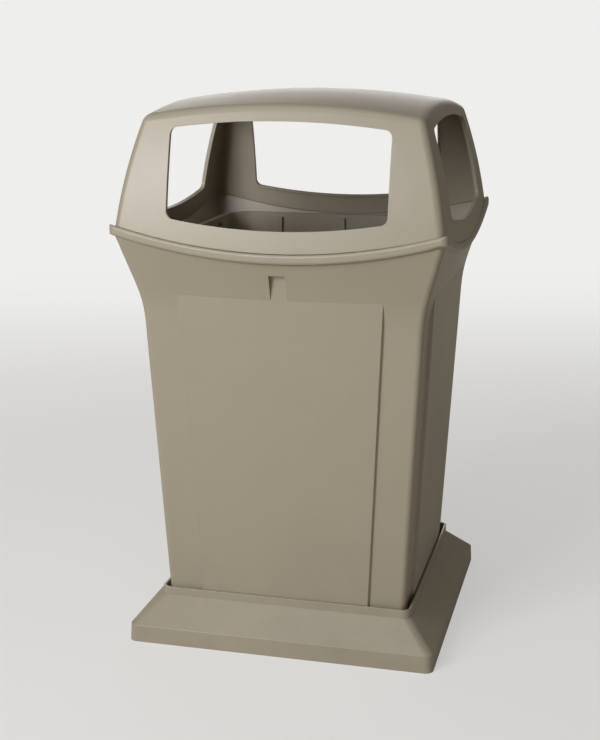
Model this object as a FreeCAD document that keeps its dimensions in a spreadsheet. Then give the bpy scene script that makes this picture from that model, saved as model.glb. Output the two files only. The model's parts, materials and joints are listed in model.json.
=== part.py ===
import FreeCAD, Part
import math
import os
import re
from types import SimpleNamespace

import Sketcher
from FreeCAD import Placement, Rotation, Vector

# Square outdoor litter container: plinth, flared body, four-way open hood, lift-out liner,
# two rear hinges and a small cam lock under the rim.
# Millimetres, +Z up, the front faces -Y, origin on the floor under the middle of the plinth.

doc = FreeCAD.newDocument("LitterContainer")

# Driving dimensions: name, value and meaning.
# Lengths are in millimetres, names ending in angle are in degrees, names ending in share are ratios.
SIZES = [
    ("overrun", 10, "how far every cutting tool runs past what it cuts"),
    ("seat_gap", 0.2, "gap between a curved seat and the piece on it"),
    ("clear_gap", 0.3, "gap between pieces that move past each other"),
    ("running_fit", 0.05, "radial clearance of a turning shaft"),
    ("fixed_fit", 0.1, "radial clearance of a fastener in its hole"),
    # plinth
    ("base_half", 300, "half width of the plinth at the floor"),
    ("base_wall", 4, "wall of the plinth"),
    ("base_corner_radius", 16, "corner radius of the skirt"),
    ("skirt_height", 33, "height of the upright skirt"),
    ("skirt_draft", 1.4, "inward draft of the skirt over its height"),
    ("slope_half", 248.5, "half width of the plinth where the slope ends"),
    ("slope_rise", 48, "height of the slope"),
    ("lip_step", 1, "ledge between the slope and the lip"),
    ("lip_rise", 17, "height of the lip above the slope"),
    ("socket_floor", 14, "height of the floor that the body stands on"),
    ("base_rib_place", 110, "distance of the outer plinth ribs from the middle"),
    ("base_rib_height", 28, "height of the plinth ribs behind the skirt"),
    # body
    ("body_foot_half", 231.2, "half width of the body at its foot"),
    ("body_wall", 6, "wall of the body"),
    ("body_floor", 6, "thickness of the body floor"),
    ("body_edge_radius", 11, "rounding of the upright body edges"),
    ("wall_angle", 2.96, "outward taper of the body walls"),
    ("wall_bow", 1, "plan bow of the straight walls"),
    ("knee_height", 670, "height where wall and flare would meet"),
    ("knee_radius", 300, "blend between wall and flare"),
    ("flare_angle", 16.2, "outward slope of the flare at the corners"),
    ("flare_bow", 16, "plan bow at the top of the flare"),
    ("panel_foot_half", 164, "half width of a raised panel at its foot"),
    ("panel_knee_half", 194, "half width of a raised panel at the knee"),
    ("panel_proud", 5.5, "how far a panel stands out from the wall"),
    ("panel_draft_angle", 28, "draft of the panel's sides"),
    # rolled rim
    ("rim_radius", 1130, "radius of the hollow curve that the rim follows"),
    ("rim_low", 734, "lowest point of that curve, on the axis"),
    ("bead_height", 18, "height of the rolled rim"),
    ("bead_half", 311, "half width of the rolled rim"),
    ("bead_depth", 24, "inward reach of the rolled rim"),
    ("bead_corner_radius", 14, "corner radius of the rolled rim"),
    ("bead_edge_radius", 5, "rounding of the rolled rim's outer edges"),
    # hood
    ("total_height", 1054, "height of the dome's crown"),
    ("dome_radius", 1600, "radius of the dome"),
    ("hood_foot_half", 302.5, "half width of the hood at the foot height"),
    ("hood_foot_height", 815, "height of the hood's corner just above the rim"),
    ("hood_head_half", 258.3, "half width of the hood at the head height"),
    ("hood_head_height", 1008, "height of the hood's upper corner"),
    ("hood_bulge", 4.5, "outward bulge of the hood sides between those heights"),
    ("hood_bow", 1.5, "plan bow of the hood sides"),
    ("hood_wall", 5, "wall of the hood"),
    ("hood_edge_radius", 14, "rounding of the hood's corner edges"),
    ("hood_crown_radius", 20, "rounding between the hood sides and the dome"),
    ("window_half", 202, "half width of each opening"),
    ("window_sill", 41, "height of the opening's lower edge above the rim curve"),
    ("window_drop", 27, "depth of the opening's upper edge below the dome"),
    ("window_corner_radius", 14, "corner radius of each opening"),
    ("return_depth", 8, "inward depth of the return round each opening"),
    ("return_wall", 4, "thickness of that return"),
    # liner
    ("liner_rim_height", 780, "height of the liner's rim"),
    ("liner_rim_half", 240, "half width of the liner below its rim"),
    ("liner_foot_half", 208, "half width of the liner at its foot"),
    ("liner_wall", 3, "wall of the liner"),
    ("liner_foot_recess", 14, "depth of the hollow under the liner"),
    ("liner_foot_band", 14, "width of the band that the liner stands on"),
    ("liner_corner_radius", 45, "corner radius of the liner"),
    ("liner_lip", 7, "outward reach of the liner's rim"),
    ("liner_lip_drop", 14, "height of the liner's turned-down rim"),
    ("liner_rib_half", 12, "half width of the liner's ribs"),
    ("liner_rib_depth", 6, "depth of the liner's ribs"),
    ("liner_rib_place", 139, "distance of the outer ribs from the middle"),
    ("liner_rib_stop", 8, "distance of the ribs' ends from the rim"),
    # rear hinges
    ("hinge_place", 140, "distance of each hinge from the middle"),
    ("hinge_axis_back", 328, "distance of the hinge axis behind the middle"),
    ("hinge_axis_height", 772, "height of the hinge axis"),
    ("pin_radius", 4, "radius of the hinge pins"),
    ("pin_head_radius", 7, "radius of the pin heads"),
    ("pin_head", 3, "thickness of the pin heads"),
    ("pin_tail", 6, "length of the pin past its bracket"),
    ("clip_thickness", 1.5, "thickness of the snap rings"),
    ("clip_groove", 1, "depth of the groove for the snap ring"),
    ("knuckle_radius", 9, "outer radius of the hinge knuckles"),
    ("knuckle_half", 15, "half width of the hood's knuckle"),
    ("ear_width", 12, "width of each bracket ear"),
    ("bracket_low", 702, "lower edge of the bracket"),
    ("bracket_high", 748, "upper edge of the bracket's pad"),
    ("bracket_face", 300, "distance of the bracket's pad face behind the middle"),
    ("bracket_web", 3, "thickness kept behind the notch between the ears"),
    ("leaf_low", 793, "lower edge of the hinge leaf's pad"),
    ("leaf_high", 812, "upper edge of the hinge leaf's pad"),
    ("leaf_near", 316, "distance of the leaf arm's near face behind the middle"),
    ("leaf_arm", 6, "thickness of the leaf arm"),
    ("screw_radius", 2.5, "radius of the hinge and strike screws"),
    ("screw_head_radius", 4.5, "radius of their heads"),
    ("screw_head", 3, "height of their heads"),
    ("screw_socket_radius", 2.2, "corner radius of their hexagon sockets"),
    ("screw_socket", 1.8, "depth of their hexagon sockets"),
    ("bracket_screw_length", 38, "length of the bracket screws"),
    ("bracket_screw_place", 20, "distance of the bracket screws from the hinge middle"),
    ("bracket_screw_height", 722, "height of the bracket screws"),
    ("leaf_screw_length", 20, "length of the leaf screws, which end inside the hood's wall"),
    ("leaf_screw_place", 8, "distance of the leaf screws from the hinge middle"),
    ("leaf_screw_height", 802.5, "height of the leaf screws"),
    # scoop and lock
    ("scoop_half", 15, "half width of the scoop under the rim"),
    ("scoop_top", 734, "height of the scoop's ceiling"),
    ("scoop_height", 48, "height of the cut that makes the scoop"),
    ("scoop_wall", 8, "wall round the scoop, inside the body"),
    ("lock_front", 280, "distance of the lock axis in front of the middle"),
    ("lock_tower_half", 13, "half width of the block that carries the lock"),
    ("lock_tower_depth", 13, "reach of that block behind the lock axis"),
    ("lock_tower_top", 752, "height of that block's top"),
    ("lock_radius", 4.5, "radius of the lock's threaded barrel"),
    ("lock_flange_radius", 5.5, "radius of the lock's flange"),
    ("lock_flange", 2.5, "thickness of the lock's flange"),
    ("lock_nut_radius", 6.5, "corner radius of the lock's nut"),
    ("lock_nut", 4, "thickness of the lock's nut"),
    ("plug_radius", 3, "radius of the turning plug"),
    ("key_slot_half", 2, "half length of the key slot"),
    ("key_slot_width", 1, "width of the key slot"),
    ("key_slot_depth", 12, "depth of the key slot"),
    ("cam_reach", 28, "reach of the cam from the lock axis"),
    ("cam_half", 6.5, "half width of the cam"),
    ("cam_thickness", 3, "thickness of the cam"),
    ("cam_screw_radius", 1.5, "radius of the cam screw"),
    ("cam_screw_head_radius", 4.5, "radius of the cam screw's head"),
    ("cam_screw_head", 2.5, "height of the cam screw's head"),
    ("cam_screw_length", 9, "length of the cam screw in the plug"),
    ("strike_wall", 3, "thickness of the strike"),
    ("strike_hook", 13, "length of the strike's hook under the cam"),
    ("strike_gap", 4, "gap between the cam and the strike's hook"),
    ("strike_pad", 18, "width of the strike's pad on the hood"),
    ("strike_pad_low", 783, "lower edge of the strike's pad"),
    ("strike_pad_high", 809, "upper edge of the strike's pad"),
    ("strike_pad_front", 296, "distance of the pad's face in front of the middle"),
    ("strike_half", 4, "half width of the strike's hook"),
    ("strike_screw_inset", 7, "distance of the strike screws from the pad's edges"),
    ("strike_screw_length", 6, "length of the strike screws"),
    # bolts between body and plinth
    ("bolt_place", 150, "distance of the bolts from the middle, both ways"),
    ("bolt_radius", 4, "radius of the bolts"),
    ("bolt_head_radius", 7.5, "corner radius of bolt heads and nuts"),
    ("bolt_head", 5.3, "height of the bolt heads"),
    ("bolt_nut", 5, "height of the nuts"),
    ("bolt_end", 1, "length of the bolt past its nut"),
    ("washer_radius", 8, "radius of the washers"),
    ("washer_thickness", 1.6, "thickness of the washers"),
]
SIZE_NAMES = [name for name, value, meaning in SIZES]

# Even steps of the smooth skins: up the hood, up the flare, and how many of the flare's lie below the knee.
HOOD_STEPS = 4
FLARE_STEPS = 8
STRAIGHT_STEPS = 2
# Smallest share of an outer edge radius that an inner edge keeps.
INNER_EDGE_SHARE = 0.3

QUARTERS = (0, 1, 2, 3)
SIDES = {"left": -1, "right": 1}
ALONG_X = Rotation(Vector(0, 1, 0), 90)
ALONG_Y = Rotation(Vector(1, 0, 0), -90)
AGAINST_Y = Rotation(Vector(1, 0, 0), 90)
UPWARD = Rotation()
DOWNWARD = Rotation(Vector(1, 0, 0), 180)
# Where the hinge axis lies, as sums of sizes along Y and Z.
HINGE_AXIS = ("hinge_axis_back", "hinge_axis_height")

sheet = doc.addObject("Spreadsheet::Sheet", "Sizes")
for row, (name, value, meaning) in enumerate(SIZES, start=1):
    sheet.set("A%d" % row, meaning)
    sheet.set("B%d" % row, str(value))
    sheet.setAlias("B%d" % row, name)
doc.recompute()
dim = SimpleNamespace(**{name: float(sheet.get(name)) for name in SIZE_NAMES})


def formula(text):
    """A sum written with size names, as the sheet's cells spell it."""
    words = re.split(r"([a-z_]+)", text)
    return "".join("Sizes." + word if word in SIZE_NAMES else word for word in words)


def bind(feature, **formulas):
    """Tie properties of a feature to sums of sheet sizes."""
    for name, text in formulas.items():
        feature.setExpression(name, formula(text))
    return feature


def place(feature, x="0", y="0", z="0", turn=UPWARD):
    """Put a feature at a spot given by sums of sheet sizes."""
    feature.Placement = Placement(Vector(), turn)
    for axis, text in (("x", x), ("y", y), ("z", z)):
        feature.setExpression("Placement.Base." + axis, formula(text))
    return feature


def block(name, x, y, z):
    """Box between two sums along each axis."""
    box = doc.addObject("Part::Box", name)
    bind(box, Length="(%s) - (%s)" % (x[1], x[0]), Width="(%s) - (%s)" % (y[1], y[0]))
    bind(box, Height="(%s) - (%s)" % (z[1], z[0]))
    return place(box, x[0], y[0], z[0])


def rod(name, radius, length, x="0", y="0", z="0", turn=UPWARD):
    """Round bar from a spot, along the direction that the turn gives."""
    bar = bind(doc.addObject("Part::Cylinder", name), Radius=radius, Height=length)
    return place(bar, x, y, z, turn)


def hexagon(name, corner_radius, length, x="0", y="0", z="0", turn=UPWARD):
    """Six-sided bar from a spot, along the direction that the turn gives."""
    bar = doc.addObject("Part::Prism", name)
    bar.Polygon = 6
    bind(bar, Circumradius=corner_radius, Height=length)
    return place(bar, x, y, z, turn)


def joined(name, pieces):
    fuse = doc.addObject("Part::MultiFuse", name)
    fuse.Shapes = pieces
    fuse.Refine = True
    return fuse


def shared(name, first, second):
    common = doc.addObject("Part::Common", name)
    common.Base = first
    common.Tool = second
    return common


def carved(name, stock, tools):
    """Stock with every tool cut away."""
    cut = doc.addObject("Part::Cut", name)
    cut.Base = stock
    cut.Tool = tools[0] if len(tools) == 1 else joined(name + "_tools", tools)
    cut.Refine = True
    return cut


def grouped(name, pieces):
    """Several separate solids kept as one node."""
    group = doc.addObject("Part::Compound", name)
    group.Links = pieces
    return group


def fixed_shape(name, shape):
    """A shape worked out from the sheet in code, as an object of the document."""
    feature = doc.addObject("Part::Feature", name)
    feature.Shape = shape
    feature.Placement = Placement()
    return feature


def plane_of(body, role):
    return next(item for item in body.Origin.OriginFeatures if item.Role == role)


def sketch_on(body, name, role, height="0"):
    sketch = body.newObject("Sketcher::SketchObject", name)
    sketch.AttachmentSupport = [(plane_of(body, role), "")]
    sketch.MapMode = "FlatFace"
    sketch.setExpression("AttachmentOffset.Base.z", formula(height))
    return sketch


def amount(text):
    """Present value of a sum of sheet sizes, as a start for the sketch solver."""
    return float(sheet.evalExpression(formula(text)))


def pin_point(sketch, geometry, point, x, y):
    """Hold a sketch point at a spot given by sums of sheet sizes."""
    for kind, text in (("DistanceX", x), ("DistanceY", y)):
        index = sketch.addConstraint(Sketcher.Constraint(kind, -1, 1, geometry, point, amount(text)))
        sketch.setExpression("Constraints[%d]" % index, formula(text))


def polygon_sketch(body, name, role, corners, height="0"):
    """Closed straight-sided outline whose corners are sums of sheet sizes."""
    sketch = sketch_on(body, name, role, height)
    spots = [Vector(amount(x), amount(y), 0) for x, y in corners]
    for index, spot in enumerate(spots):
        following = spots[(index + 1) % len(spots)]
        sketch.addGeometry(Part.LineSegment(spot, following), False)
    for index, (x, y) in enumerate(corners):
        sketch.addConstraint(Sketcher.Constraint("Coincident", index, 2, (index + 1) % len(corners), 1))
        pin_point(sketch, index, 1, x, y)
    return sketch


def rounded_square_sketch(body, name, half, radius, height):
    """Square outline with rounded corners, level at a height."""
    sketch = sketch_on(body, name, "XY_Plane", height)
    reach = amount("(%s) - (%s)" % (half, radius))
    bend = amount(radius)
    quarter_turn = math.pi / 2
    centres = ((1, -1), (1, 1), (-1, 1), (-1, -1))
    for index, (x_sign, y_sign) in enumerate(centres):
        circle = Part.Circle(Vector(x_sign * reach, y_sign * reach, 0), Vector(0, 0, 1), bend)
        start = (index - 1) * quarter_turn
        sketch.addGeometry(Part.ArcOfCircle(circle, start, start + quarter_turn), False)
    for index in QUARTERS:
        here = sketch.Geometry[index].EndPoint
        there = sketch.Geometry[(index + 1) % len(QUARTERS)].StartPoint
        sketch.addGeometry(Part.LineSegment(here, there), False)
    for index, (x_sign, y_sign) in enumerate(centres):
        line = len(QUARTERS) + index
        sketch.addConstraint(Sketcher.Constraint("Tangent", index, 2, line, 1))
        sketch.addConstraint(Sketcher.Constraint("Tangent", line, 2, (index + 1) % len(QUARTERS), 1))
    for index, (x_sign, y_sign) in enumerate(centres):
        across = "%d * ((%s) - (%s))" % (x_sign, half, radius)
        along = "%d * ((%s) - (%s))" % (y_sign, half, radius)
        pin_point(sketch, index, 3, across, along)
    for index in QUARTERS:
        number = sketch.addConstraint(Sketcher.Constraint("Radius", index, bend))
        sketch.setExpression("Constraints[%d]" % number, formula(radius))
    return sketch


def loft_feature(body, name, kind, sections):
    """Straight-sided loft through level outlines, added to the body or cut from it."""
    loft = body.newObject(kind, name)
    loft.Profile = sections[0]
    loft.Sections = sections[1:]
    loft.Ruled = True
    return loft


def pad_feature(body, name, sketch, length, midplane=False):
    pad = body.newObject("PartDesign::Pad", name)
    pad.Profile = sketch
    pad.Midplane = midplane
    return bind(pad, Length=length)


def pocket_feature(body, name, sketch, length):
    """Cut a level outline downwards from its sketch."""
    pocket = body.newObject("PartDesign::Pocket", name)
    pocket.Profile = sketch
    return bind(pocket, Length=length)


# Outlines and skins of the body and the hood.

def turned(point, quarter):
    return Rotation(Vector(0, 0, 1), 90 * quarter).multVec(point)


def arc_edge(first, middle, last, quarter):
    return Part.Arc(turned(first, quarter), turned(middle, quarter), turned(last, quarter)).toShape()


def bowed_square(half, bow, corner, height):
    """Level outline of four bowed sides; the corners are sharp where the corner radius is zero."""
    side_radius = (half ** 2 + bow ** 2) / (2 * bow)
    centre = side_radius - half - bow
    reach = (math.sqrt(2 * (side_radius - corner) ** 2 - centre ** 2) - centre) / 2
    stretch = side_radius / (side_radius - corner)
    side_end = Vector(reach * stretch, centre - (reach + centre) * stretch, height)
    side_start = Vector(-side_end.x, side_end.y, height)
    side_middle = Vector(0, -half - bow, height)
    corner_tip = reach + corner * math.sqrt(0.5)
    corner_middle = Vector(corner_tip, -corner_tip, height)
    corner_end = Vector(-side_end.y, -side_end.x, height)
    edges = []
    for quarter in QUARTERS:
        edges.append(arc_edge(side_start, side_middle, side_end, quarter))
        if corner > 0:
            edges.append(arc_edge(side_end, corner_middle, corner_end, quarter))
    return Part.Wire(edges)


def ball(radius, lowest=None, highest=None):
    """Sphere on the axis whose lowest or highest point is given."""
    centre = lowest + radius if highest is None else highest - radius
    return Part.makeSphere(radius, Vector(0, 0, centre))


def rim_height_at(reach):
    """Height of the rim curve at a distance from the axis."""
    return dim.rim_low + dim.rim_radius - math.sqrt(dim.rim_radius ** 2 - reach ** 2)


taper = math.radians(dim.wall_angle)
flare = math.radians(dim.flare_angle)
knee_half = dim.body_foot_half + (dim.knee_height - dim.socket_floor) * math.tan(taper)
knee_tangent = dim.knee_radius * math.tan((flare - taper) / 2)
knee_start = dim.knee_height - knee_tangent * math.cos(taper)
knee_end = dim.knee_height + knee_tangent * math.cos(flare)
flare_top = rim_height_at(dim.bead_half * math.sqrt(2)) + dim.overrun


def wall_half(height):
    """Half width at the corners of the straight wall."""
    return dim.body_foot_half + (height - dim.socket_floor) * math.tan(taper)


def body_half(height):
    """Half width at the corners of the body: straight wall, round knee, straight flare."""
    if height <= knee_start:
        return wall_half(height)
    if height >= knee_end:
        return knee_half + (height - dim.knee_height) * math.tan(flare)
    bend_half = wall_half(knee_start) + dim.knee_radius * math.cos(taper)
    bend_height = knee_start - dim.knee_radius * math.sin(taper)
    return bend_half - math.sqrt(dim.knee_radius ** 2 - (height - bend_height) ** 2)


def body_bow(height):
    """Plan bow of the body's sides, which grows up the flare."""
    rise = max(0, (height - knee_start) / (flare_top - knee_start))
    return dim.wall_bow + (dim.flare_bow - dim.wall_bow) * rise ** 2


def inner_radius(radius, inset):
    return max(radius - inset, INNER_EDGE_SHARE * radius)


def body_skin(inset):
    """Solid inside the body's plain outer skin, drawn in by the inset."""
    corner = inner_radius(dim.body_edge_radius, inset)
    step = (flare_top - knee_start) / (FLARE_STEPS - STRAIGHT_STEPS)
    levels = [dim.socket_floor] + [flare_top - step * count for count in range(FLARE_STEPS, -1, -1)]
    outlines = [bowed_square(body_half(z) - inset, body_bow(z), corner, z) for z in levels]
    straight = Part.makeLoft(outlines[:2], True, True)
    return straight.fuse(Part.makeLoft(outlines[1:], True, False))


def panel_core():
    """Solid inside the plane of the raised panels, carried on above them."""
    levels = (dim.socket_floor, flare_top)
    outlines = []
    for height in levels:
        half = wall_half(height) + dim.panel_proud
        outlines.append(bowed_square(half, dim.wall_bow, dim.body_edge_radius, height))
    return Part.makeLoft(outlines, True, True)


def front_panel():
    """Raised panel of the front with drafted sides, solid to the middle of the body."""
    spread = (dim.panel_knee_half - dim.panel_foot_half) / (dim.knee_height - dim.socket_floor)
    draft = math.tan(math.radians(dim.panel_draft_angle))
    outlines = []
    for depth in (0, dim.base_half):
        corners = []
        for height, signs in ((dim.socket_floor, (-1, 1)), (flare_top, (1, -1))):
            half = dim.panel_foot_half + spread * (height - dim.socket_floor)
            half += draft * (wall_half(height) - depth)
            corners += [Vector(sign * half, -depth, height) for sign in signs]
        outlines.append(Part.makePolygon(corners + corners[:1]))
    return panel_core().common(Part.makeLoft(outlines, True, True))


def is_upright(edge):
    box = edge.BoundBox
    return box.ZLength > box.XLength and box.ZLength > box.YLength


def quarter_copies(shape):
    copies = []
    for quarter in QUARTERS:
        copy = shape.copy()
        copy.rotate(Vector(), Vector(0, 0, 1), 90 * quarter)
        copies.append(copy)
    return copies


def rim_side():
    """Front stretch of the rolled rim: a rounded strip bent along the rim curve, mitred at both ends."""
    bend = math.sqrt(dim.rim_radius ** 2 - dim.bead_half ** 2)
    top = rim_height_at(dim.bead_half)
    fall = dim.bead_depth * dim.bead_half / bend
    inner = dim.bead_depth - dim.bead_half
    outline = [(-dim.bead_half, top - dim.bead_height), (-dim.bead_half, top)]
    outline += [(inner, top - fall), (inner, top - fall - dim.bead_height)]
    corners = [Vector(0, y, z) for y, z in outline]
    face = Part.Face(Part.makePolygon(corners + corners[:1]))
    pivot = Vector(0, 0, dim.rim_low + dim.rim_radius)
    half_turn = math.degrees(math.asin((dim.bead_half + dim.overrun) / bend))
    face.rotate(pivot, Vector(0, 1, 0), -half_turn)
    strip = face.revolve(pivot, Vector(0, 1, 0), 2 * half_turn)
    long_edges = [edge for edge in strip.Edges if edge.Curve.TypeId == "Part::GeomCircle"]
    outer = [edge for edge in long_edges if edge.BoundBox.YMax < inner]
    strip = strip.makeFillet(dim.bead_edge_radius, outer)
    reach = 2 * dim.bead_half
    mitre = [Vector(), Vector(-reach, -reach), Vector(reach, -reach)]
    wedge = Part.Face(Part.makePolygon(mitre + mitre[:1])).extrude(Vector(0, 0, dim.total_height))
    return strip.common(wedge)


def rolled_rim():
    """Ring of the rolled rim with rounded corners in plan."""
    sides = quarter_copies(rim_side())
    stock = Part.makeBox(2 * dim.bead_half, 2 * dim.bead_half, dim.total_height)
    stock.translate(Vector(-dim.bead_half, -dim.bead_half, 0))
    stock = stock.makeFillet(dim.bead_corner_radius, [edge for edge in stock.Edges if is_upright(edge)])
    return sides[0].fuse(sides[1:]).common(stock)


def body_stock():
    """Container wall, panels, rolled rim and the thickening behind the scoop."""
    outside = body_skin(0)
    inside = body_skin(dim.body_wall)
    floor = Part.makeBox(2 * dim.base_half, 2 * dim.base_half, dim.body_floor + dim.socket_floor)
    floor.translate(Vector(-dim.base_half, -dim.base_half, 0))
    wall_end = ball(dim.rim_radius, lowest=dim.rim_low - dim.bead_height / 2)
    full = outside.fuse(quarter_copies(front_panel())).cut(wall_end)
    shell = full.fuse(rolled_rim()).cut(inside.cut(floor))
    shell = shell.fuse([block_shape.common(outside) for block_shape in scoop_blocks()])
    return shell.cut(scoop_cut()).removeSplitter()


def scoop_blocks():
    """Thick places inside the wall, round the scoop and under the lock's nut."""
    back = -dim.lock_front + dim.lock_tower_depth
    pocket_half = dim.scoop_half + dim.scoop_wall
    pocket_low = dim.scoop_top - dim.scoop_height - dim.scoop_wall
    front = -dim.bead_half
    sizes = (
        (pocket_half, pocket_low, dim.scoop_top + dim.scoop_wall),
        (dim.lock_tower_half, pocket_low, dim.lock_tower_top),
    )
    blocks = []
    for half, low, high in sizes:
        stock = Part.makeBox(2 * half, back - front, high - low)
        stock.translate(Vector(-half, front, low))
        blocks.append(stock)
    return blocks


def scoop_cut():
    """What the scoop takes out of the flare: it stops at the plane of the panels."""
    stock = Part.makeBox(2 * dim.scoop_half, dim.bead_half, dim.scoop_height)
    stock.translate(Vector(-dim.scoop_half, -dim.bead_half - dim.overrun, dim.scoop_top - dim.scoop_height))
    return stock.cut(panel_core())


def hood_half(height):
    """Half width at the corners of the hood, on an arc through its foot and head."""
    rise = dim.hood_head_height - dim.hood_foot_height
    draw_in = dim.hood_foot_half - dim.hood_head_half
    chord = math.hypot(rise, draw_in)
    radius = (chord ** 2 / 4 + dim.hood_bulge ** 2) / (2 * dim.hood_bulge)
    back = radius - dim.hood_bulge
    centre_half = (dim.hood_foot_half + dim.hood_head_half) / 2 - back * rise / chord
    centre_height = (dim.hood_foot_height + dim.hood_head_height) / 2 - back * draw_in / chord
    return centre_half + math.sqrt(radius ** 2 - (height - centre_height) ** 2)


def hood_blank(inset):
    """Solid inside the hood's sides and dome, drawn in by the inset, with sharp edges."""
    low = dim.rim_low
    high = dim.total_height + dim.overrun
    outlines = []
    for step in range(HOOD_STEPS + 1):
        height = low + step * (high - low) / HOOD_STEPS
        outlines.append(bowed_square(hood_half(height) - inset, dim.hood_bow, 0, height))
    dome = ball(dim.dome_radius - inset, highest=dim.total_height - inset)
    return Part.makeLoft(outlines, True, False).common(dome)


def rounded_hood(name, inset):
    """The blank with its corner edges and the edge of the dome rounded."""
    blank = fixed_shape(name + "_blank", hood_blank(inset))
    rounding = doc.addObject("Part::Fillet", name)
    rounding.Base = blank
    side_radius = inner_radius(dim.hood_edge_radius, inset)
    crown_radius = inner_radius(dim.hood_crown_radius, inset)
    edges = []
    for index, edge in enumerate(blank.Shape.Edges, start=1):
        if is_upright(edge):
            edges.append((index, side_radius, side_radius))
        elif edge.CenterOfMass.z > dim.hood_foot_height:
            edges.append((index, crown_radius, crown_radius))
    rounding.Edges = edges
    return rounding


def window_tool(margin):
    """Solid that fills the front opening, grown by a margin on every edge."""
    half = dim.window_half + margin
    near = dim.hood_head_half - 2 * dim.return_depth
    far = dim.bead_half + dim.overrun
    stock = Part.makeBox(2 * half, far - near, dim.total_height - dim.rim_low)
    stock.translate(Vector(-half, -far, dim.rim_low))
    stock = stock.common(ball(dim.rim_radius, lowest=dim.rim_low + dim.window_sill - margin))
    stock = stock.common(ball(dim.dome_radius, highest=dim.total_height - dim.window_drop + margin))
    corners = []
    for edge in stock.Edges:
        box = edge.BoundBox
        if box.YLength > box.XLength + box.ZLength:
            corners.append(edge)
    return stock.makeFillet(dim.window_corner_radius + margin, corners)


def hood_stock(outside, inside):
    """Hood wall with the four openings and their returns, resting on the rim curve."""
    opening = window_tool(0)
    return_ring = window_tool(dim.return_wall).common(outside)
    return_ring = return_ring.cut(outside.translated(Vector(0, dim.return_depth, 0)))
    shell = outside.cut(inside).fuse(quarter_copies(return_ring))
    openings = quarter_copies(opening)
    shell = shell.cut(openings[0].multiFuse(openings[1:]))
    foot = ball(dim.rim_radius - dim.clear_gap, lowest=dim.rim_low + dim.clear_gap)
    return shell.common(foot).removeSplitter()


def base_plinth():
    """Hollow plinth: skirt, slope, lip and the socket that the body stands in."""
    body = doc.addObject("PartDesign::Body", "plinth_body")
    slope_top = "skirt_height + slope_rise"
    lip_half = "slope_half - lip_step"
    corner = "base_corner_radius"
    inner_corner = "base_corner_radius - base_wall"
    outside = [
        rounded_square_sketch(body, "skirt_foot", "base_half", corner, "0"),
        rounded_square_sketch(body, "skirt_head", "base_half - skirt_draft", corner, "skirt_height"),
        rounded_square_sketch(body, "slope_head", "slope_half", corner, slope_top),
    ]
    loft_feature(body, "plinth_outside", "PartDesign::AdditiveLoft", outside)
    lip = rounded_square_sketch(body, "lip_outline", lip_half, corner, slope_top)
    pad_feature(body, "lip", lip, "lip_rise")
    inside = [
        rounded_square_sketch(body, "hollow_foot", "base_half - base_wall", inner_corner, "0"),
        rounded_square_sketch(
            body, "hollow_knee", "base_half - skirt_draft - base_wall", inner_corner,
            "skirt_height - base_wall / 2"),
        rounded_square_sketch(body, "hollow_head", lip_half, inner_corner, slope_top + " - base_wall"),
    ]
    loft_feature(body, "plinth_hollow", "PartDesign::SubtractiveLoft", inside)
    core = rounded_square_sketch(body, "socket_core", lip_half, corner, "socket_floor - base_wall")
    pad_feature(body, "socket_block", core, slope_top + " - socket_floor + base_wall")
    socket = rounded_square_sketch(
        body, "socket_outline", lip_half + " - base_wall", inner_corner, slope_top + " + lip_rise")
    pocket_feature(body, "socket", socket, slope_top + " + lip_rise - socket_floor")
    ribs = []
    far = "base_half - skirt_draft - base_wall / 2"
    under_plate = ("0", "socket_floor - base_wall / 2")
    behind_skirt = ("0", "base_rib_height")
    for index, place_text in enumerate(("-base_rib_place", "0", "base_rib_place")):
        across = ("(%s) - base_wall / 2" % place_text, "(%s) + base_wall / 2" % place_text)
        whole = ("-(%s)" % far, far)
        ribs.append(block("rib_long_%d" % index, across, whole, under_plate))
        ribs.append(block("rib_cross_%d" % index, whole, across, under_plate))
        for name, span in (("near", ("-(%s)" % far, "-(%s)" % lip_half)), ("far", (lip_half, far))):
            ribs.append(block("rib_%s_%d" % (name, index), across, span, behind_skirt))
            ribs.append(block("rib_%s_side_%d" % (name, index), span, across, behind_skirt))
    stock = joined("plinth_stock", [body] + ribs)
    holes = []
    for name, x, y in bolt_spots("hole"):
        holes.append(rod(name, "bolt_radius + fixed_fit", "socket_floor + overrun", x, y))
    return carved("base_plinth", stock, holes)


def bolt_spots(word):
    """Name and place of each bolt between the body and the plinth."""
    signs = (("-", "-"), ("", "-"), ("", ""), ("-", ""))
    spots = []
    for number, (x, y) in enumerate(signs):
        spots.append(("%s_%d" % (word, number), x + "bolt_place", y + "bolt_place"))
    return spots


def base_fasteners():
    """Bolts down through the body floor and the plinth, with washers and nuts."""
    floor_top = "socket_floor + body_floor"
    plate_under = "socket_floor - base_wall"
    shank = "body_floor + base_wall + 2 * washer_thickness + bolt_nut + bolt_end"
    bolts, washers, nuts = [], [], []
    for name, x, y in bolt_spots("bolt"):
        seat = floor_top + " + washer_thickness"
        head = hexagon(name + "_head", "bolt_head_radius", "bolt_head", x, y, seat)
        bar = rod(name + "_shank", "bolt_radius", shank, x, y, seat, DOWNWARD)
        bolts.append(joined(name, [head, bar]))
        for where, height in (("top", floor_top), ("under", plate_under + " - washer_thickness")):
            disc = rod("%s_%s_disc" % (name, where), "washer_radius", "washer_thickness", x, y, height)
            eye = "%s_%s_eye" % (name, where)
            hole = rod(eye, "bolt_radius + fixed_fit", "washer_thickness", x, y, height)
            washers.append(carved("%s_%s_washer" % (name, where), disc, [hole]))
        nut_low = plate_under + " - washer_thickness - bolt_nut"
        nut = hexagon(name + "_nut_stock", "bolt_head_radius", "bolt_nut", x, y, nut_low)
        bore = rod(name + "_nut_bore", "bolt_radius + running_fit", "bolt_nut", x, y, nut_low)
        nuts.append(carved(name + "_nut", nut, [bore]))
    return grouped("base_bolts", bolts), grouped("base_washers", washers), grouped("base_nuts", nuts)


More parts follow.
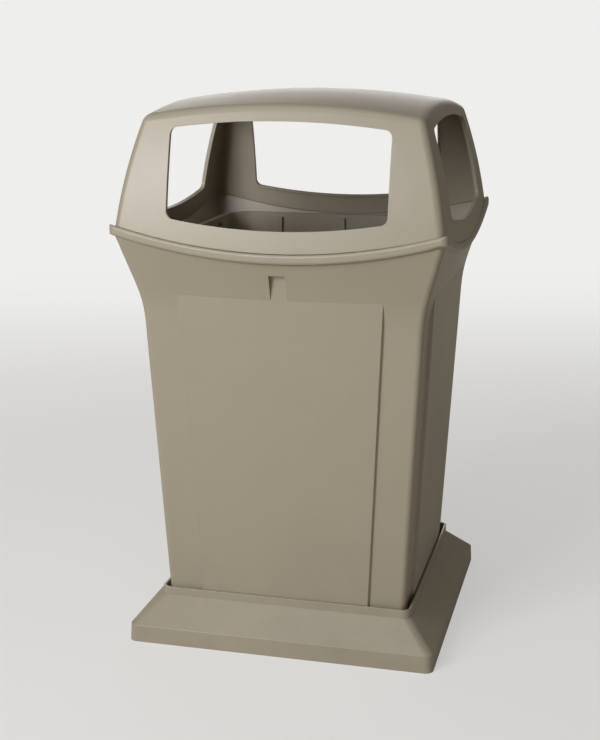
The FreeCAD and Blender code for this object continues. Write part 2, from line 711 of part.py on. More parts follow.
def rigid_liner():
    """Tapered square tub with a turned-down rim, ribs on its walls and a hollow foot."""
    body = doc.addObject("PartDesign::Body", "liner_body")
    foot = "socket_floor + body_floor + clear_gap"
    floor_low = foot + " + liner_foot_recess"
    corner = "liner_corner_radius"
    narrowing = "((liner_rim_half - liner_foot_half) / (liner_rim_height - (%s)))" % foot

    def half_at(height, inset):
        return "liner_foot_half + %s * ((%s) - (%s)) - (%s)" % (narrowing, height, foot, inset)

    def tub(name, low, inset, kind):
        inner_corner = "%s - (%s)" % (corner, inset)
        sections = []
        for word, height in (("_foot", low), ("_head", "liner_rim_height")):
            half = half_at(height, inset)
            sections.append(rounded_square_sketch(body, name + word, half, inner_corner, height))
        return loft_feature(body, name, kind, sections)

    tub("tub_outside", foot, "0", "PartDesign::AdditiveLoft")
    lip_low = "liner_rim_height - liner_lip_drop"
    lip_half = "liner_rim_half + liner_lip"
    lip = rounded_square_sketch(body, "lip_edge", lip_half, corner + " + liner_lip", lip_low)
    pad_feature(body, "lip_block", lip, "liner_lip_drop")
    groove_corner = corner + " + liner_lip - liner_wall"
    groove = rounded_square_sketch(
        body, "lip_groove_edge", lip_half + " - liner_wall", groove_corner, "liner_rim_height - liner_wall")
    pocket_feature(body, "lip_groove", groove, "liner_lip_drop - liner_wall")
    sections = [
        rounded_square_sketch(body, "wall_foot", half_at(lip_low, "0"), corner, lip_low),
        rounded_square_sketch(body, "wall_head", "liner_rim_half", corner, "liner_rim_height"),
    ]
    loft_feature(body, "wall_again", "PartDesign::AdditiveLoft", sections)
    ribbed = "liner_wall + liner_rib_depth"
    tub("tub_hollow", floor_low + " + liner_wall", ribbed, "PartDesign::SubtractiveLoft")
    under_half = "liner_foot_half - liner_foot_band"
    under = rounded_square_sketch(body, "under_edge", under_half, corner + " - liner_foot_band", floor_low)
    pocket_feature(body, "under_hollow", under, "liner_foot_recess")
    return carved("rigid_liner", body, [liner_flutes(half_at, floor_low)])


def liner_flutes(half_at, floor_low):
    """What is hollowed out between the ribs, back to the liner's plain wall."""
    body = doc.addObject("PartDesign::Body", "flute_body")
    low = floor_low + " + liner_wall"
    corner = "liner_corner_radius - liner_wall"
    sections = []
    for name, height in (("flute_foot", low), ("flute_head", "liner_rim_height")):
        sections.append(rounded_square_sketch(body, name, half_at(height, "liner_wall"), corner, height))
    loft_feature(body, "flute_space", "PartDesign::AdditiveLoft", sections)
    ribs = []
    whole = ("-liner_rim_half", "liner_rim_half")
    tall = (floor_low, "liner_rim_height - liner_rib_stop")
    for index, spot in enumerate(("-liner_rib_place", "0", "liner_rib_place")):
        across = ("(%s) - liner_rib_half" % spot, "(%s) + liner_rib_half" % spot)
        ribs.append(block("flute_rib_%d" % index, across, whole, tall))
        ribs.append(block("flute_rib_side_%d" % index, whole, across, tall))
    return carved("liner_flutes", body, ribs)


def hinge_bracket(side, sign, skin):
    """Hinge half on the body: a pad that follows the flare and two ears for the pin."""
    middle = "%d * hinge_place" % sign
    half = "(knuckle_half + clear_gap + ear_width)"
    outer = "hinge_axis_back + knuckle_radius"
    inner = "hinge_axis_back - knuckle_radius"
    name = "bracket_" + side
    body = doc.addObject("PartDesign::Body", name + "_body")
    corners = [
        ("body_foot_half", "bracket_low"),
        ("bracket_face", "bracket_low"),
        (outer, "hinge_axis_height - knuckle_radius / 2"),
        (outer, "hinge_axis_height"),
        (inner, "hinge_axis_height"),
        (inner, "hinge_axis_height - knuckle_radius - bracket_web"),
        ("bracket_face", "bracket_high"),
        ("body_foot_half", "bracket_high"),
    ]
    profile = polygon_sketch(body, name + "_profile", "YZ_Plane", corners)
    pad_feature(body, name + "_pad", profile, "2 * " + half, midplane=True)
    place(body, x=middle)
    left = "%s - %s" % (middle, half)
    knuckle = rod(name + "_knuckle", "knuckle_radius", "2 * " + half, left, *HINGE_AXIS, ALONG_X)
    notch_half = "(knuckle_half + clear_gap)"
    notch = block(
        name + "_notch",
        ("%s - %s" % (middle, notch_half), "%s + %s" % (middle, notch_half)),
        ("bracket_face + bracket_web", outer + " + overrun"),
        ("bracket_low - overrun", "hinge_axis_height + knuckle_radius + overrun"),
    )
    bore = rod(name + "_bore", "pin_radius + running_fit", "2 * " + half, left, *HINGE_AXIS, ALONG_X)
    tools = [skin, notch, bore]
    for index, (across, height) in enumerate(screw_spots(sign, "bracket")):
        hole = "%s_hole_%d" % (name, index)
        tools.append(rod(hole, "screw_radius + fixed_fit", "bracket_face", across, "0", height, ALONG_Y))
        seat = "%s_seat_%d" % (name, index)
        head_room = "screw_head_radius + fixed_fit"
        tools.append(rod(seat, head_room, "base_half", across, "bracket_face", height, ALONG_Y))
    return carved("hinge_bracket_" + side, joined(name + "_stock", [body, knuckle]), tools)


def screw_spots(sign, piece):
    """Places across and up of the two screws of one hinge half."""
    height = "%s_screw_height" % piece
    return [("%d * hinge_place %s %s_screw_place" % (sign, way, piece), height) for way in ("-", "+")]


def hinge_leaf(side, sign, skin):
    """Hinge half on the hood: a pad on the hood's rear, an arm over the rim and one knuckle."""
    middle = "%d * hinge_place" % sign
    name = "leaf_" + side
    body = doc.addObject("PartDesign::Body", name + "_body")
    arm_far = "leaf_near + leaf_arm"
    corners = [
        ("hood_head_half", "leaf_low"),
        ("leaf_near", "leaf_low"),
        ("leaf_near", "hinge_axis_height"),
        ("hinge_axis_back", "hinge_axis_height"),
        ("hinge_axis_back", "hinge_axis_height + knuckle_radius"),
        (arm_far, "leaf_low"),
        (arm_far, "leaf_high - leaf_arm"),
        ("leaf_near", "leaf_high"),
        ("hood_head_half", "leaf_high"),
    ]
    profile = polygon_sketch(body, name + "_profile", "YZ_Plane", corners)
    pad_feature(body, name + "_pad", profile, "2 * knuckle_half", midplane=True)
    place(body, x=middle)
    left = middle + " - knuckle_half"
    knuckle = rod(name + "_knuckle", "knuckle_radius", "2 * knuckle_half", left, *HINGE_AXIS, ALONG_X)
    bore = rod(name + "_bore", "pin_radius + running_fit", "2 * knuckle_half", left, *HINGE_AXIS, ALONG_X)
    tools = [skin, bore]
    for index, (across, height) in enumerate(screw_spots(sign, "leaf")):
        hole = "%s_hole_%d" % (name, index)
        tools.append(rod(hole, "screw_radius + fixed_fit", arm_far, across, "0", height, ALONG_Y))
    return carved("hinge_leaf_" + side, joined(name + "_stock", [body, knuckle]), tools)


def hinge_pin(side, sign):
    """Headed pin with a groove for its snap ring."""
    half = "(knuckle_half + clear_gap + ear_width)"
    start = "%d * hinge_place - %s" % (sign, half)
    name = "pin_" + side
    bar = rod(name + "_bar", "pin_radius", "2 * %s + pin_tail" % half, start, *HINGE_AXIS, ALONG_X)
    head = rod(name + "_head", "pin_head_radius", "pin_head", start + " - pin_head", *HINGE_AXIS, ALONG_X)
    spot = (start + " + 2 * %s + clip_thickness" % half, *HINGE_AXIS)
    ring = rod(name + "_ring", "pin_radius + overrun", "clip_thickness", *spot, ALONG_X)
    core = rod(name + "_core", "pin_radius - clip_groove", "clip_thickness", *spot, ALONG_X)
    groove = carved(name + "_groove", ring, [core])
    return carved("hinge_pin_" + side, joined(name + "_stock", [bar, head]), [groove])


def pin_clips():
    """Open snap rings in the pins' grooves."""
    half = "(knuckle_half + clear_gap + ear_width)"
    clips = []
    for side, sign in SIDES.items():
        start = "%d * hinge_place + %s + clip_thickness" % (sign, half)
        spot = (start, *HINGE_AXIS)
        ring = rod("clip_ring_" + side, "pin_head_radius", "clip_thickness", *spot, ALONG_X)
        eye_radius = "pin_radius - clip_groove + running_fit"
        eye = rod("clip_eye_" + side, eye_radius, "clip_thickness", *spot, ALONG_X)
        mouth = block(
            "clip_mouth_" + side,
            (start, start + " + clip_thickness"),
            ("hinge_axis_back - pin_radius / 2", "hinge_axis_back + pin_radius / 2"),
            ("hinge_axis_height - pin_head_radius - overrun", "hinge_axis_height"),
        )
        clips.append(carved("clip_" + side, ring, [eye, mouth]))
    return grouped("hinge_pin_clips", clips)


def socket_screw(name, length, x, y, z, inward):
    """Round-headed screw whose head sits at the spot, with the shank along inward."""
    outward = AGAINST_Y if inward is ALONG_Y else ALONG_Y
    shank = rod(name + "_shank", "screw_radius", length, x, y, z, inward)
    head = rod(name + "_head", "screw_head_radius", "screw_head", x, y, z, outward)
    away = "-" if inward is ALONG_Y else "+"
    floor = "(%s) %s (screw_head - screw_socket)" % (y, away)
    key = hexagon(name + "_key", "screw_socket_radius", "screw_socket + overrun", x, floor, z, outward)
    return carved(name, joined(name + "_stock", [shank, head]), [key])


def hinge_screws():
    """Screws of the brackets and of the leaves, each set as one node."""
    bracket, leaf = [], []
    for side, sign in SIDES.items():
        for index, (across, height) in enumerate(screw_spots(sign, "bracket")):
            spot = (across, "bracket_face", height)
            name = "bracket_screw_%s_%d" % (side, index)
            bracket.append(socket_screw(name, "bracket_screw_length", *spot, AGAINST_Y))
        for index, (across, height) in enumerate(screw_spots(sign, "leaf")):
            spot = (across, "leaf_near + leaf_arm", height)
            name = "leaf_screw_%s_%d" % (side, index)
            leaf.append(socket_screw(name, "leaf_screw_length", *spot, AGAINST_Y))
    return grouped("hinge_bracket_screws", bracket), grouped("hinge_leaf_screws", leaf)


def cam_lock():
    """Upright cam lock in the scoop's ceiling: housing, nut, plug, cam and cam screw."""
    spot = ("0", "-lock_front")
    flange_low = "scoop_top"
    nut_top = "lock_tower_top + lock_nut"
    cam_low = nut_top + " + clear_gap"
    cam_top = cam_low + " + cam_thickness"
    barrel = rod("lock_barrel", "lock_radius", nut_top + " - scoop_top", *spot, "scoop_top")
    flange = rod("lock_flange_disc", "lock_flange_radius", "lock_flange", *spot, flange_low)
    bore_length = nut_top + " - (%s)" % flange_low
    bore = rod("lock_bore", "plug_radius + running_fit", bore_length, *spot, flange_low)
    housing = carved("lock_housing", joined("lock_housing_stock", [barrel, flange]), [bore])
    nut_stock = hexagon("lock_nut_stock", "lock_nut_radius", "lock_nut", *spot, "lock_tower_top")
    nut_bore = rod("lock_nut_bore", "lock_radius + running_fit", "lock_nut", *spot, "lock_tower_top")
    nut = carved("lock_nut_node", nut_stock, [nut_bore])
    plug_bar = rod("plug_bar", "plug_radius", cam_top + " - (%s)" % flange_low, *spot, flange_low)
    slot = block(
        "key_slot",
        ("-key_slot_width / 2", "key_slot_width / 2"),
        ("-lock_front - key_slot_half", "-lock_front + key_slot_half"),
        (flange_low + " - overrun", flange_low + " + key_slot_depth"),
    )
    thread_low = cam_top + " - cam_screw_length"
    thread_length = "cam_screw_length + overrun"
    thread = rod("plug_thread", "cam_screw_radius + running_fit", thread_length, *spot, thread_low)
    plug = carved("lock_plug", plug_bar, [slot, thread])
    hub = rod("cam_hub", "cam_half", "cam_thickness", *spot, cam_low)
    arm_long = ("-lock_front", "-lock_front + cam_reach")
    arm = block("cam_arm", ("-cam_half", "cam_half"), arm_long, (cam_low, cam_top))
    eye = rod("cam_eye", "plug_radius + running_fit", "cam_thickness", *spot, cam_low)
    cam = carved("lock_cam", joined("cam_stock", [hub, arm]), [eye])
    head = rod("cam_screw_disc", "cam_screw_head_radius", "cam_screw_head", *spot, cam_top)
    shank = rod("cam_screw_shank", "cam_screw_radius", "cam_screw_length", *spot, thread_low)
    key_low = cam_top + " + cam_screw_head - screw_socket"
    key = hexagon("cam_screw_key", "screw_socket_radius", "screw_socket + overrun", *spot, key_low)
    screw = carved("lock_cam_screw", joined("cam_screw_stock", [head, shank]), [key])
    return housing, nut, plug, cam, screw


def strike_screw_spots():
    """Places of the strike's two screws, on the face of its pad."""
    across = "cam_reach + strike_wall / 2 + strike_wall + strike_pad / 2"
    heights = ("strike_pad_low + strike_screw_inset", "strike_pad_high - strike_screw_inset")
    return [(across, "-strike_pad_front", height) for height in heights]


def lock_strike(inside_skin):
    """Hook on the hood's front wall that the cam turns over, with its two screws."""
    near = "cam_reach + strike_wall / 2"
    web = ("(%s)" % near, "(%s) + strike_wall" % near)
    hook_top = "lock_tower_top + lock_nut + clear_gap - strike_gap"
    hook_low = hook_top + " - strike_wall"
    deep = ("-lock_front - strike_half", "-lock_front + strike_half")
    pad_across = (web[0], web[1] + " + strike_pad")
    pad_tall = ("strike_pad_low", "strike_pad_high")
    pad = block("strike_pad_block", pad_across, ("-bead_half", "-strike_pad_front"), pad_tall)
    arm = block("strike_arm", web, ("-bead_half", deep[1]), pad_tall)
    upper = shared("strike_upper", joined("strike_upper_stock", [pad, arm]), inside_skin)
    leg = block("strike_leg", web, deep, (hook_low, "strike_pad_high"))
    hook = block("strike_hook_plate", (web[0] + " - strike_hook", web[1]), deep, (hook_low, hook_top))
    holes, screws = [], []
    for index, spot in enumerate(strike_screw_spots()):
        name = "strike_hole_%d" % index
        holes.append(rod(name, "screw_radius + fixed_fit", "base_wall + overrun", *spot, AGAINST_Y))
        screws.append(socket_screw("strike_screw_%d" % index, "strike_screw_length", *spot, AGAINST_Y))
    strike = carved("lock_strike", joined("strike_stock", [upper, leg, hook]), holes)
    return strike, grouped("strike_screws", screws)


# The shells, with the holes for everything that is fastened to them.

def body_shell():
    tools = []
    for name, x, y in bolt_spots("body_hole"):
        tools.append(rod(name, "bolt_radius + fixed_fit", "socket_floor + body_floor + overrun", x, y))
    lock_spot = ("0", "-lock_front", "scoop_top - overrun")
    tools.append(rod("body_lock_hole", "lock_radius + fixed_fit", "lock_tower_top", *lock_spot))
    seat_radius = "lock_flange_radius + fixed_fit"
    tools.append(rod("body_lock_seat", seat_radius, "lock_flange + overrun", *lock_spot))
    for side, sign in SIDES.items():
        for index, (across, height) in enumerate(screw_spots(sign, "bracket")):
            name = "body_screw_hole_%s_%d" % (side, index)
            tools.append(rod(name, "screw_radius + fixed_fit", "bracket_face", across, "0", height, ALONG_Y))
    return carved("body_shell", fixed_shape("body_stock", body_stock()), tools)


def hood_shell(outside, inside):
    """Hood with blind holes for the leaf screws and holes for the strike screws."""
    tools = []
    size = ("screw_radius + fixed_fit", "leaf_screw_length - leaf_arm + fixed_fit")
    for side, sign in SIDES.items():
        for index, (across, height) in enumerate(screw_spots(sign, "leaf")):
            name = "hood_screw_hole_%s_%d" % (side, index)
            tools.append(rod(name, *size, across, "leaf_near", height, AGAINST_Y))
    for index, spot in enumerate(strike_screw_spots()):
        name = "hood_strike_hole_%d" % index
        tools.append(rod(name, "screw_radius + fixed_fit", "strike_screw_length", *spot, AGAINST_Y))
    return carved("hood_shell", fixed_shape("hood_stock", hood_stock(outside.Shape, inside.Shape)), tools)


hood_outside = rounded_hood("hood_outside", 0)
hood_inside = rounded_hood("hood_inside", dim.hood_wall)
doc.recompute()
body_seat = fixed_shape("body_seat", body_skin(-dim.seat_gap))
hood_seat = fixed_shape("hood_seat", hood_blank(-dim.seat_gap))
strike_seat = fixed_shape("strike_seat", hood_blank(dim.hood_wall + dim.seat_gap))

nodes = {"base_plinth": base_plinth(), "body_shell": body_shell(), "rigid_liner": rigid_liner()}
nodes["hood_shell"] = hood_shell(hood_outside, hood_inside)
for side, sign in SIDES.items():
    nodes["hinge_bracket_" + side] = hinge_bracket(side, sign, body_seat)
    nodes["hinge_leaf_" + side] = hinge_leaf(side, sign, hood_seat)
    nodes["hinge_pin_" + side] = hinge_pin(side, sign)
nodes["hinge_pin_clips"] = pin_clips()
nodes["hinge_bracket_screws"], nodes["hinge_leaf_screws"] = hinge_screws()
lock_names = ("lock_housing", "lock_nut", "lock_plug", "lock_cam", "lock_cam_screw")
nodes.update(zip(lock_names, cam_lock()))
nodes["lock_strike"], nodes["strike_screws"] = lock_strike(strike_seat)
nodes["base_bolts"], nodes["base_washers"], nodes["base_nuts"] = base_fasteners()
doc.recompute()

# Nothing is written unless every object is sound.
for item in doc.Objects:
    if "Invalid" in item.State or "Error" in item.State:
        raise RuntimeError("%s failed: %s" % (item.Name, item.State))
for name, item in nodes.items():
    item.Label = name
    if item.Shape.isNull() or not item.Shape.isValid():
        raise RuntimeError("%s has no valid shape" % name)

os.makedirs("parts", exist_ok=True)
for name, item in nodes.items():
    item.Shape.exportStep("parts/%s.step" % name)
    print("%-22s solids %d  volume %.0f" % (name, len(item.Shape.Solids), item.Shape.Volume))
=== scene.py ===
import json
import math
from collections import namedtuple

import bpy
from mathutils import Euler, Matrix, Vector

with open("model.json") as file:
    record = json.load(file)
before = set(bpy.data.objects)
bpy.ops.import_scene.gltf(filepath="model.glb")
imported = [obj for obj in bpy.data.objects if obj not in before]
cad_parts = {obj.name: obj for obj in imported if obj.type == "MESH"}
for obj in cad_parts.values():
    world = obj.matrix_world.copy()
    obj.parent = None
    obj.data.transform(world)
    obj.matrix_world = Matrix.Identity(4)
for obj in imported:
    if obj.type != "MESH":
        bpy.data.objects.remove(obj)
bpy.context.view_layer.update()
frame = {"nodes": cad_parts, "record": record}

# Square outdoor litter container: moulded beige plastic, painted hinges, zinc fasteners
# and a brass lock plug. Metres, +Z up, the front with the scoop faces -Y.

# Colours of the finishes.
BEIGE = (0.435, 0.386, 0.300)
BEIGE_PALE = (0.560, 0.505, 0.410)
BEIGE_DARK = (0.380, 0.335, 0.257)
LINER = (0.360, 0.318, 0.245)
LINER_PALE = (0.470, 0.425, 0.345)
LINER_DARK = (0.310, 0.272, 0.207)
DUST = (0.300, 0.270, 0.220)
PAINT = (0.370, 0.325, 0.250)
PAINT_DARK = (0.296, 0.260, 0.200)
ZINC = (0.600, 0.600, 0.600)
ZINC_DULL = (0.340, 0.340, 0.330)
BRASS = (0.700, 0.520, 0.240)
BRASS_DULL = (0.400, 0.280, 0.120)

# Marks that come and go over a surface, as noise: scale per metre, detail, roughness,
# and the two values between which the mark comes in.
Mark = namedtuple("Mark", "scale detail roughness low high")
CLOUDS = Mark(3.2, 4, 0.60, 0.30, 0.70)
SPECKS = Mark(950, 1, 0.50, 0.42, 0.70)
SCUFFS = Mark(38, 6, 0.72, 0.60, 0.74)
SCRAPES = Mark(1, 5, 0.70, 0.56, 0.72)
# Patches of rubbing along the plastic's edges, which pale them as wear and as a painted edge
# highlight.
RUB_HIGHLIGHT_PATCHES = Mark(24, 4, 0.50, 0.30, 0.65)
DUSTING = Mark(9, 5, 0.70, 0.35, 0.80)
PAINT_CLOUDS = Mark(22, 3, 0.50, 0.35, 0.70)
PAINT_CHIPS = Mark(160, 4, 0.50, 0.42, 0.62)
PLATE_SPOTS = Mark(240, 5, 0.70, 0.50, 0.72)

# Relief of a surface, as noise: scale per metre, detail, roughness and strength.
Relief = namedtuple("Relief", "scale detail roughness strength")
PEBBLES = Relief(620, 3, 0.65, 0.30)
RIPPLES = Relief(11, 2, 0.50, 0.12)
ORANGE_PEEL = Relief(420, 2, 0.50, 0.20)
LATHE_LINES = Relief(900, 2, 0.50, 0.25)

# Depths of the relief.
CONTAINER_GRAIN = 0.0006
LINER_GRAIN = 0.0003
RIPPLE_DEPTH = 0.004
PEEL_DEPTH = 0.0003
LINE_DEPTH = 0.0002

# Stretch of the marks that run up and down: across them, then along them.
SCRAPE_STRETCH = (130, 4)
LINE_STRETCH = (1, 9)

# Radii that soften the edges, and how finely that is worked out.
PLASTIC_ROUND = 0.0022
PAINT_ROUND = 0.0008
METAL_ROUND = 0.0005
ROUND_SAMPLES = 6

# Reach of the wear from an edge, and how sharp the edge is where wear starts and is full. On the
# plastic, that wear is also painted paler as an edge highlight.
PLASTIC_WEAR_HIGHLIGHT_REACH = 0.005
PLASTIC_WEAR_HIGHLIGHT_SHARP = (0.04, 0.5)
PAINT_WEAR_REACH = 0.0012
PAINT_WEAR_SHARP = (0.1, 0.55)

# Heights between which the dust thins out.
DUST_HEIGHTS = (0.015, 0.32)

# How far each mark takes the tone to its other colour.
CLOUD_TONE = 0.35
SPECK_TONE = 0.16
DUST_TONE = 0.35
SCUFF_TONE = 0.10
# Paling of the plastic's edges from rubbing, which is also a painted edge highlight.
RUB_HIGHLIGHT_TONE = 0.30
CONTAINER_SCRAPE_TONE = 0
LINER_SCRAPE_TONE = 0.3
PAINT_CLOUD_TONE = 0.25
SPOT_TONE = 0.6

# Roughness of the finishes, and what each mark adds to it or takes from it.
CONTAINER_ROUGH = 0.30
LINER_ROUGH = 0.34
PAINT_ROUGH = 0.38
ZINC_ROUGH = 0.30
BRASS_ROUGH = 0.26
CLOUD_ROUGH = 0.08
SCUFF_ROUGH = 0.08
RUB_SMOOTH = 0.06
PAINT_CLOUD_ROUGH = 0.1
LINE_ROUGH = 0.12
SPOT_ROUGH = 0.12

# Mirror level of the plastic, and how metallic the paint is where it's worn through.
PLASTIC_SHEEN = 0.65
BARE_METAL = 0.9

# Floor: its colour as light for the object and as the camera sees it, its half width, and
# the distances between which it runs into the surround.
FLOOR_GREY = (0.620, 0.585, 0.520)
FLOOR_PALE = (0.920, 0.915, 0.900)
FLOOR_HALF = 60.0
FLOOR_NEAR = 1.0
FLOOR_FAR = 4.5
# Share of the surround's glow in the floor near the object, and of that in a reflection.
FLOOR_SHARE = 0.54
GLOSS_SHARE = 0.10

# Surround: colour and strength as light for the object, and as the camera sees it.
SKY_TINT = (1.000, 0.930, 0.800)
SKY_LIGHT = 0.15
SURROUND = (1.000, 0.995, 0.985)
SKY_SEEN = 0.86

# Lamps: name, place, target, width, height and watts.
LAMPS = (
    ("key", (-1.85, -3.70, 2.08), (0, 0, 0.75), 2.1, 2.0, 109),
    ("top", (-0.30, -1.60, 4.00), (0, 0, 0.60), 2.0, 2.0, 16),
    ("fill", (3.20, -2.60, 2.20), (0, 0, 0.60), 2.5, 2.5, 1.5),
    ("back", (-1.10, 4.20, 1.35), (0, 0, 0.90), 3.0, 1.5, 36),
)

# Camera of the photograph: place, turn to the left, tilt, and the lens and its sensor in
# millimetres. A camera with no tilt looks level.
CAMERA_SPOT = (0.6176, -2.5696, 1.1470)
CAMERA_TURN = math.radians(14.12)
CAMERA_TILT = math.radians(-13.905)
CAMERA_LEVEL = math.pi / 2
CAMERA_LENS = 65.14
CAMERA_SENSOR = 36.0


class Wire:
    """A shader socket that Python sums can be written with."""

    def __init__(self, tree, socket):
        self.tree = tree
        self.socket = socket

    def sum_with(self, operation, first, second):
        made = self.tree.nodes.new("ShaderNodeMath")
        made.operation = operation
        for place, value in zip(made.inputs, (first, second)):
            if isinstance(value, Wire):
                self.tree.links.new(value.socket, place)
            else:
                place.default_value = value
        return Wire(self.tree, made.outputs[0])

    def __add__(self, other):
        return self.sum_with("ADD", self, other)

    __radd__ = __add__

    def __sub__(self, other):
        return self.sum_with("SUBTRACT", self, other)

    def __rsub__(self, other):
        return self.sum_with("SUBTRACT", other, self)

    def __mul__(self, other):
        return self.sum_with("MULTIPLY", self, other)

    __rmul__ = __mul__


class Finish:
    """A material, or the surround, and the nodes that make it."""

    def __init__(self, owner):
        self.owner = owner
        owner.use_nodes = True
        self.tree = owner.node_tree
        self.tree.nodes.clear()

    def node(self, kind, output=None, settings=None, **inputs):
        """Add a node: its settings first, then the values or links of its sockets.

        Sockets that share a name take a list.
        """
        made = self.tree.nodes.new("ShaderNode" + kind)
        for name, value in (settings or {}).items():
            setattr(made, name, value)
        for name, given in inputs.items():
            label = name.replace("_", " ")
            sockets = [item for item in made.inputs if item.enabled and item.name == label]
            for socket, value in zip(sockets, given if isinstance(given, list) else [given]):
                if isinstance(value, Wire):
                    self.tree.links.new(value.socket, socket)
                else:
                    socket.default_value = (*value, 1) if socket.type == "RGBA" else value
        found = [item for item in made.outputs if item.enabled and output in (None, item.name)]
        return Wire(self.tree, found[0]) if found else None

    def place(self):
        """Point of the piece, in metres."""
        return self.node("TexCoord", "Object")

    def height(self):
        """Height of that point above the floor at rest."""
        return self.node("SeparateXYZ", "Z", Vector=self.place())

    def drawn_out(self, across, along):
        """Point of the piece for marks that run up and down."""
        return self.node("Mapping", Vector=self.place(), Scale=(across, across, along))

    def noise(self, kind, where=None):
        """Noise of a mark or a relief, over the piece or the points given."""
        values = {"Scale": kind.scale, "Detail": kind.detail, "Roughness": kind.roughness}
        return self.node("TexNoise", Vector=where or self.place(), **values)

    def step(self, value, low, high):
        """Zero below low, one above high, smooth between."""
        smooth = {"interpolation_type": "SMOOTHSTEP"}
        return self.node("MapRange", settings=smooth, Value=value, From_Min=low, From_Max=high)

    def patches(self, mark, where=None):
        """One where the mark is, zero where it isn't."""
        return self.step(self.noise(mark, where), mark.low, mark.high)

    def blend(self, amount, first, second):
        """Colour that goes from first to second with the amount."""
        return self.node("Mix", settings={"data_type": "RGBA"}, Factor=amount, A=first, B=second)

    def rounded(self, radius):
        """Normal that is rounded over the edges."""
        return self.node("Bevel", settings={"samples": ROUND_SAMPLES}, Radius=radius)

    def edges(self, reach):
        """Above zero near the edges, zero on flat faces."""
        flat = self.node("NewGeometry", "True Normal")
        both = [self.rounded(reach), flat]
        return 1 - self.node("VectorMath", "Value", {"operation": "DOT_PRODUCT"}, Vector=both)

    def worn(self, reach, sharp, mark):
        """Patches along the edges: worn paint, and on the plastic wear that is also a painted edge
        highlight.
        """
        return self.step(self.edges(reach), *sharp) * self.patches(mark)

    def raised(self, relief, depth, height, normal):
        """Normal with the relief on it."""
        shape = {"Strength": relief.strength, "Distance": depth}
        return self.node("Bump", Height=height, Normal=normal, **shape)

    def mixed(self, amount, first, second):
        """Shader that goes from first to second with the amount."""
        return self.node("MixShader", Fac=amount, Shader=[first, second])

    def ending(self, shader, kind="OutputMaterial"):
        """Link the shader to the output and give back what it was made for."""
        self.node(kind, Surface=shader)
        return self.owner

    def surface(self, **inputs):
        return self.ending(self.node("BsdfPrincipled", **inputs))


def moulded_plastic(name, colour, pale, dark, grain_depth, rough, scrape_tone):
    """Satin moulded plastic.

    It has a pebbled grain, a cloudy tone, edges paler from rubbing and as a painted highlight,
    dust low down, and scrapes where asked.
    """
    finish = Finish(bpy.data.materials.new(name))
    cloud = finish.noise(CLOUDS)
    speck = finish.patches(SPECKS)
    scuff = finish.patches(SCUFFS)
    scrape = finish.patches(SCRAPES, finish.drawn_out(*SCRAPE_STRETCH))
    rubbed_and_highlit = finish.worn(PLASTIC_WEAR_HIGHLIGHT_REACH, PLASTIC_WEAR_HIGHLIGHT_SHARP, RUB_HIGHLIGHT_PATCHES)
    low_down = 1 - finish.step(finish.height(), *DUST_HEIGHTS)
    dusty = low_down * finish.patches(DUSTING)
    clouded = finish.step(cloud, CLOUDS.low, CLOUDS.high)
    tone = finish.blend(clouded * CLOUD_TONE, colour, dark)
    tone = finish.blend(speck * SPECK_TONE, tone, pale)
    tone = finish.blend(dusty * DUST_TONE, tone, DUST)
    # Scuffs, scrapes and rubbing pale the tone; the paling along the edges is also a painted edge
    # highlight.
    paled = scuff * SCUFF_TONE + rubbed_and_highlit * RUB_HIGHLIGHT_TONE + scrape * scrape_tone
    tone = finish.blend(paled, tone, pale)
    edged = finish.rounded(PLASTIC_ROUND)
    wavy = finish.raised(RIPPLES, RIPPLE_DEPTH, finish.noise(RIPPLES), edged)
    grained = finish.raised(PEBBLES, grain_depth, finish.noise(PEBBLES), wavy)
    return finish.surface(
        Base_Color=tone,
        Roughness=rough + cloud * CLOUD_ROUGH + scuff * SCUFF_ROUGH - rubbed_and_highlit * RUB_SMOOTH,
        Normal=grained,
        Specular_IOR_Level=PLASTIC_SHEEN,
    )


def satin_paint(name, colour, dark, bare):
    """Painted steel: fine orange peel, and paint worn to metal on sharp edges."""
    finish = Finish(bpy.data.materials.new(name))
    cloud = finish.noise(PAINT_CLOUDS)
    chipped = finish.worn(PAINT_WEAR_REACH, PAINT_WEAR_SHARP, PAINT_CHIPS)
    clouded = finish.step(cloud, PAINT_CLOUDS.low, PAINT_CLOUDS.high)
    tone = finish.blend(clouded * PAINT_CLOUD_TONE, colour, dark)
    edged = finish.rounded(PAINT_ROUND)
    return finish.surface(
        Base_Color=finish.blend(chipped, tone, bare),
        Roughness=PAINT_ROUGH + cloud * PAINT_CLOUD_ROUGH,
        Metallic=chipped * BARE_METAL,
        Normal=finish.raised(ORANGE_PEEL, PEEL_DEPTH, finish.noise(ORANGE_PEEL), edged),
    )


def turned_metal(name, colour, dull, rough):
    """Plated or turned metal: fine lathe lines, cloudy plating and darker spots."""
    finish = Finish(bpy.data.materials.new(name))
    lines = finish.noise(LATHE_LINES, finish.drawn_out(*LINE_STRETCH))
    spot = finish.patches(PLATE_SPOTS)
    return finish.surface(
        Base_Color=finish.blend(spot * SPOT_TONE, colour, dull),
        Roughness=rough + lines * LINE_ROUGH + spot * SPOT_ROUGH,
        Metallic=1,
        Normal=finish.raised(LATHE_LINES, LINE_DEPTH, lines, finish.rounded(METAL_ROUND)),
    )


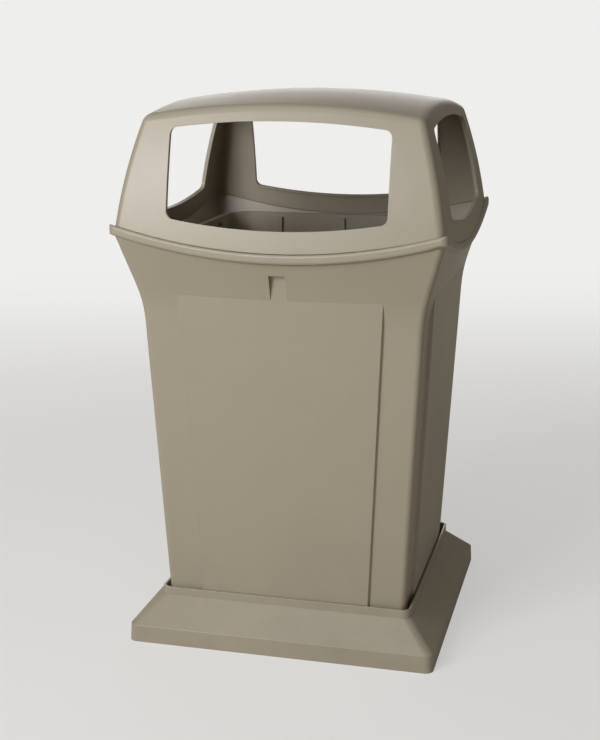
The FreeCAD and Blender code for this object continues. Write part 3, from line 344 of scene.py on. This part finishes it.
def dress(parts):
    """Give each piece of the part the finish of its slot."""
    beiges = (BEIGE, BEIGE_PALE, BEIGE_DARK)
    liners = (LINER, LINER_PALE, LINER_DARK)
    finishes = {
        "container_plastic": moulded_plastic(
            "container_plastic", *beiges, CONTAINER_GRAIN, CONTAINER_ROUGH, CONTAINER_SCRAPE_TONE
        ),
        "liner_plastic": moulded_plastic(
            "liner_plastic", *liners, LINER_GRAIN, LINER_ROUGH, LINER_SCRAPE_TONE
        ),
        "hinge_paint": satin_paint("hinge_paint", PAINT, PAINT_DARK, ZINC_DULL),
        "plain_steel": turned_metal("plain_steel", ZINC, ZINC_DULL, ZINC_ROUGH),
        "lock_brass": turned_metal("lock_brass", BRASS, BRASS_DULL, BRASS_ROUGH),
    }
    for entry in parts["record"]["subparts"]:
        for slot in parts["nodes"][entry["node"]].material_slots:
            slot.material = finishes[entry["material_slot"]]


def linked(name, data):
    """Object of that data, in the scene."""
    made = bpy.data.objects.new(name, data)
    bpy.context.scene.collection.objects.link(made)
    return made


def pale_floor():
    """Plain pale floor: it keeps the shadow near the object and runs into the surround far off."""
    half = FLOOR_HALF
    corners = [(-half, -half, 0), (half, -half, 0), (half, half, 0), (-half, half, 0)]
    mesh = bpy.data.meshes.new("floor")
    mesh.from_pydata(corners, [], [(0, 1, 2, 3)])
    finish = Finish(bpy.data.materials.new("floor_pale"))
    direct = finish.node("LightPath", "Is Camera Ray")
    seen = direct + finish.node("LightPath", "Is Glossy Ray") * GLOSS_SHARE
    away = finish.node("VectorMath", "Value", {"operation": "LENGTH"}, Vector=finish.place())
    glowing = finish.step(away, FLOOR_NEAR, FLOOR_FAR) * (1 - FLOOR_SHARE) + FLOOR_SHARE
    matt = finish.node("BsdfDiffuse", Color=finish.blend(direct, FLOOR_GREY, FLOOR_PALE))
    tint = finish.blend(direct, SKY_TINT, SURROUND)
    glow = finish.node("Emission", Color=tint, Strength=SKY_SEEN)
    mesh.materials.append(finish.ending(finish.mixed(seen * glowing, matt, glow)))
    linked("floor", mesh)


def pale_sky():
    """Even soft surround: dim and warm as light, pale where the camera sees it."""
    finish = Finish(bpy.data.worlds.new("surround"))
    seen = finish.node("LightPath", "Is Camera Ray")
    lit = finish.node("Background", Color=SKY_TINT, Strength=SKY_LIGHT)
    pale = finish.node("Background", Color=SURROUND, Strength=SKY_SEEN)
    bpy.context.scene.world = finish.ending(finish.mixed(seen, lit, pale), "OutputWorld")


def soft_lamp(name, spot, target, wide, tall, power):
    """Flat lamp of that width and height, turned towards the target."""
    data = bpy.data.lights.new(name, "AREA")
    data.shape = "RECTANGLE"
    data.size = wide
    data.size_y = tall
    data.energy = power
    lamp = linked(name, data)
    lamp.location = spot
    lamp.rotation_euler = (Vector(target) - Vector(spot)).to_track_quat("-Z", "Y").to_euler()
    lamp.visible_camera = False


def photo_camera():
    """Camera at the photograph's place and angle."""
    lens = bpy.data.cameras.new("camera")
    lens.lens = CAMERA_LENS
    lens.sensor_width = CAMERA_SENSOR
    camera = linked("camera", lens)
    camera.location = CAMERA_SPOT
    camera.rotation_euler = Euler((CAMERA_LEVEL + CAMERA_TILT, 0, CAMERA_TURN))
    bpy.context.scene.camera = camera
    bpy.context.scene.view_settings.view_transform = "Standard"


dress(frame)
pale_floor()
pale_sky()
for lamp_values in LAMPS:
    soft_lamp(*lamp_values)
photo_camera()
